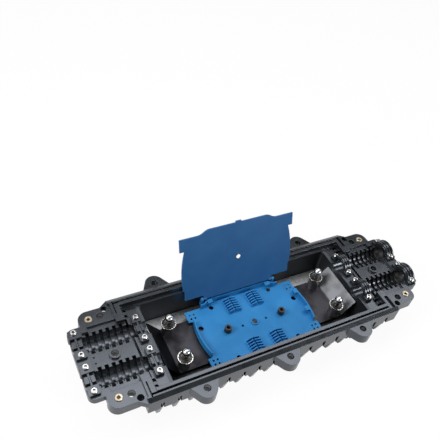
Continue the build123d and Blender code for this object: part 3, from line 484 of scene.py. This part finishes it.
def thread(name, x, y, finish, body):
    """a fine helical thread round an anchor bolt's upright shank, as one ribbed sleeve"""
    length = THREAD_HIGH - THREAD_LOW
    steps = int(length / THREAD_PITCH * THREAD_ROWS)
    mesh = bmesh.new()
    rings = []
    for row in range(steps + 1):
        z = THREAD_LOW + length * row / steps
        fade = min(1.0, row / THREAD_FADE_ROWS, (steps - row) / THREAD_FADE_ROWS)
        ring = []
        for k in range(THREAD_SIDES):
            angle = 2 * pi * k / THREAD_SIDES
            phase = ((z - THREAD_LOW) / THREAD_PITCH - k / THREAD_SIDES) % 1.0
            rise = THREAD_DEPTH * (1 - abs(2 * phase - 1))
            r = THREAD_RADIUS + rise * fade
            ring.append(mesh.verts.new((x + r * cos(angle), y + r * sin(angle), z)))
        rings.append(ring)
    for a, b in zip(rings, rings[1:]):
        for k in range(THREAD_SIDES):
            n = (k + 1) % THREAD_SIDES
            mesh.faces.new((a[k], a[n], b[n], b[k]))
    mesh.faces.new(list(reversed(rings[0])))
    mesh.faces.new(rings[-1])
    add_piece(name, mesh, finish, body, smooth=True)


def turned(name, profile, place, axis, finish, body, teeth=0):
    """a ring turned from a closed profile about the X or the Z axis; teeth cut notches round its
    outer points"""
    around = TOOTH_SIDES * teeth if teeth else ROUND_SIDES
    outer = max(r for r, _ in profile)
    mesh = bmesh.new()
    rings = []
    for k in range(around):
        angle = 2 * pi * k / around
        in_notch = teeth and (k * teeth / around) % 1.0 >= NOTCH_START
        ring = []
        for r, h in profile:
            if in_notch and r > outer - TOOTH_BAND:
                r -= TOOTH_DEPTH
            if axis == "Z":
                spot = (place[0] + r * cos(angle), place[1] + r * sin(angle), place[2] + h)
            else:
                spot = (place[0] + h, place[1] + r * sin(angle), place[2] + r * cos(angle))
            ring.append(mesh.verts.new(spot))
        rings.append(ring)
    for a, b in zip(rings, rings[1:] + rings[:1]):
        for k in range(len(profile)):
            n = (k + 1) % len(profile)
            if a[k].co != b[k].co and a[n].co != b[n].co:
                mesh.faces.new((a[k], b[k], b[n], a[n]))
    bmesh.ops.recalc_face_normals(mesh, faces=mesh.faces)
    add_piece(name, mesh, finish, body)


def quarter_pieces(finish_of):
    """each quarter's anchor thread and lock ring, and the boss that closes its ear's locating hole"""
    dark_steel = finish_of["dark_steel"]
    for k, (side_x, side_y) in enumerate(QUARTERS, start=1):
        x = side_x * ANCHOR_X
        y = side_y * ANCHOR_Y
        thread(f"anchor_thread_{k}", x, y, dark_steel, BASE_BODY)
        turned(
            f"anchor_lock_ring_{k}", LOCK_RING, (x, y, LOCK_RING_Z), "Z", dark_steel, BASE_BODY,
            teeth=LOCK_RING_TEETH,
        )
        socket = (side_x * SOCKET_X, side_y * SOCKET_Y, 0.0)
        turned(f"socket_boss_{k}", SOCKET_BOSS, socket, "Z", finish_of["black_plastic"], BASE_BODY)


def screw_drive_shades(finish_of):
    """a thin dark disc on the head of each clamp screw, painted shade for its drive recess"""
    dark_steel = finish_of["dark_steel"]
    drive = 0
    for group in ("outer_clamp_screws", "inner_clamp_screws"):
        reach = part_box(group)[1]
        for side_x in (-1, 1):
            x = side_x * (reach[0] - SCREW_HEAD_RADIUS)
            for port_y in (-PORT_Y, PORT_Y):
                for offset in (-SCREW_OFFSET, SCREW_OFFSET):
                    drive += 1
                    top = (x, port_y + offset, reach[2])
                    turned(f"screw_drive_{drive}", SCREW_DRIVE_SHADE, top, "Z", dark_steel, BASE_BODY)


def post_shade_sleeves(finish_of):
    """a dark sleeve over each winding post of the tray, standing in for the shade on the posts"""
    tray_middle = (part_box("tray_screw")[0][1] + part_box("tray_screw")[1][1]) / 2
    for name, x in (("left", -POST_X), ("right", POST_X)):
        foot = (x, tray_middle, 0.0)
        turned(f"post_sleeve_{name}", POST_SHADE_SLEEVE, foot, "Z", finish_of["seal_rubber"], BASE_BODY)


def port_liners(finish_of):
    """a rubber grommet in each right outer port"""
    for name, y in (("near", -PORT_Y), ("far", PORT_Y)):
        middle = (0.0, y, PORT_Z)
        turned(f"port_liner_{name}", PORT_LINER, middle, "X", finish_of["seal_rubber"], BASE_BODY)


def stage():
    """a plain pale floor that keeps a soft shadow"""
    bpy.ops.mesh.primitive_plane_add(size=FLOOR_SIZE, location=(0, 0, -FLOOR_DROP))
    floor = bpy.context.object
    floor.name = "floor"
    white, shader = material("floor_white")
    tree = white.node_tree
    shader.inputs["Base Color"].default_value = (*FLOOR_WHITE, 1.0)
    shader.inputs["Roughness"].default_value = FLOOR_ROUGHNESS
    rays = tree.nodes.new("ShaderNodeLightPath").outputs
    seen = calculate(tree, "MAXIMUM", rays["Is Camera Ray"], rays["Is Glossy Ray"])
    glow = tree.nodes.new("ShaderNodeEmission")
    glow.inputs["Color"].default_value = (*WHITE, 1.0)
    mix = tree.nodes.new("ShaderNodeMixShader")
    tree.links.new(calculate(tree, "MULTIPLY", seen, FLOOR_GLOW_SHARE), mix.inputs["Fac"])
    tree.links.new(shader.outputs["BSDF"], mix.inputs[1])
    tree.links.new(glow.outputs["Emission"], mix.inputs[2])
    tree.links.new(mix.outputs["Shader"], tree.nodes["Material Output"].inputs["Surface"])
    floor.data.materials.append(white)


def world():
    """a white surround for the camera; for reflections and fill light it is white low down and
    straight above, dim between, and the fill light has a plain low level"""
    made = bpy.data.worlds.new("studio")
    bpy.context.scene.world = made
    made.use_nodes = True
    tree = made.node_tree
    rays = tree.nodes.new("ShaderNodeLightPath").outputs
    seen = calculate(tree, "MAXIMUM", rays["Is Camera Ray"], rays["Is Transmission Ray"])
    seen_or_mirrored = calculate(tree, "MAXIMUM", seen, rays["Is Glossy Ray"])
    strength = carried(tree, seen_or_mirrored, after=(FILL_LEVEL, 1.0))
    ceiling = tree.nodes.new("ShaderNodeValToRGB")
    ceiling.color_ramp.interpolation = "EASE"
    for sine, grey in CEILING_STOPS:
        stop = ceiling.color_ramp.elements.new(sine)
        stop.color = (grey, grey, grey, 1.0)
    ceiling.color_ramp.elements[0].position = CEILING_START
    ceiling.color_ramp.elements[0].color = (*WHITE, 1.0)
    tree.links.new(axes_of(tree, "Generated")["Z"], ceiling.inputs["Fac"])
    shown = calculate(tree, "MAXIMUM", seen, ceiling.outputs["Color"])
    background = tree.nodes["Background"]
    background.inputs["Color"].default_value = (*WHITE, 1.0)
    tree.links.new(calculate(tree, "MULTIPLY", strength, shown), background.inputs["Strength"])


def lamp(name, place, target, size, power, turn=0.0):
    """a soft light, as long and as wide as its size says, that faces its target"""
    data = bpy.data.lights.new(name, "AREA")
    data.shape = "RECTANGLE"
    data.size, data.size_y = size
    data.energy = power
    piece = bpy.data.objects.new(name, data)
    bpy.context.collection.objects.link(piece)
    piece.location = place
    piece.rotation_euler = (Vector(target) - Vector(place)).to_track_quat("-Z", "Y").to_euler()
    piece.rotation_euler.rotate_axis("Z", turn)


def lamps():
    """a long soft light straight down from above the far right, and two smaller ones from the left and
    from the front right that face the closure's middle"""
    middle = (0, 0, 0.03)
    lamp("key", (0.40, 0.39, 1.30), (0.40, 0.39, 0.0), size=(2.2, 0.68), power=16.0, turn=radians(-5))
    lamp("left", (-1.05, 0.10, 0.95), middle, size=(0.5, 0.5), power=11.0)
    lamp("front_right", (0.80, -0.95, 0.55), middle, size=(0.4, 0.4), power=7.0)


def camera():
    """the photograph's view"""
    data = bpy.data.cameras.new("camera")
    data.lens = CAMERA_LENS
    data.clip_start = CAMERA_CLIP_START
    piece = bpy.data.objects.new("camera", data)
    bpy.context.collection.objects.link(piece)
    az, el, roll = CAMERA_AZIMUTH, CAMERA_ELEVATION, CAMERA_ROLL
    back = Vector((sin(az) * cos(el), -cos(az) * cos(el), sin(el)))
    right = Vector((cos(az), sin(az), 0.0))
    up = back.cross(right)
    tilted_right = cos(roll) * right + sin(roll) * up
    tilted_up = -sin(roll) * right + cos(roll) * up
    turn = Matrix((tilted_right, tilted_up, back)).transposed()
    piece.matrix_world = Matrix.Translation(CAMERA_PLACE) @ turn.to_4x4()
    bpy.context.scene.camera = piece


camera()
world()
finish_of = finishes()
stage()
dress(finish_of)
lamps()
quarter_pieces(finish_of)
screw_drive_shades(finish_of)
post_shade_sleeves(finish_of)
port_liners(finish_of)
bpy.context.scene.view_settings.view_transform = "Standard"
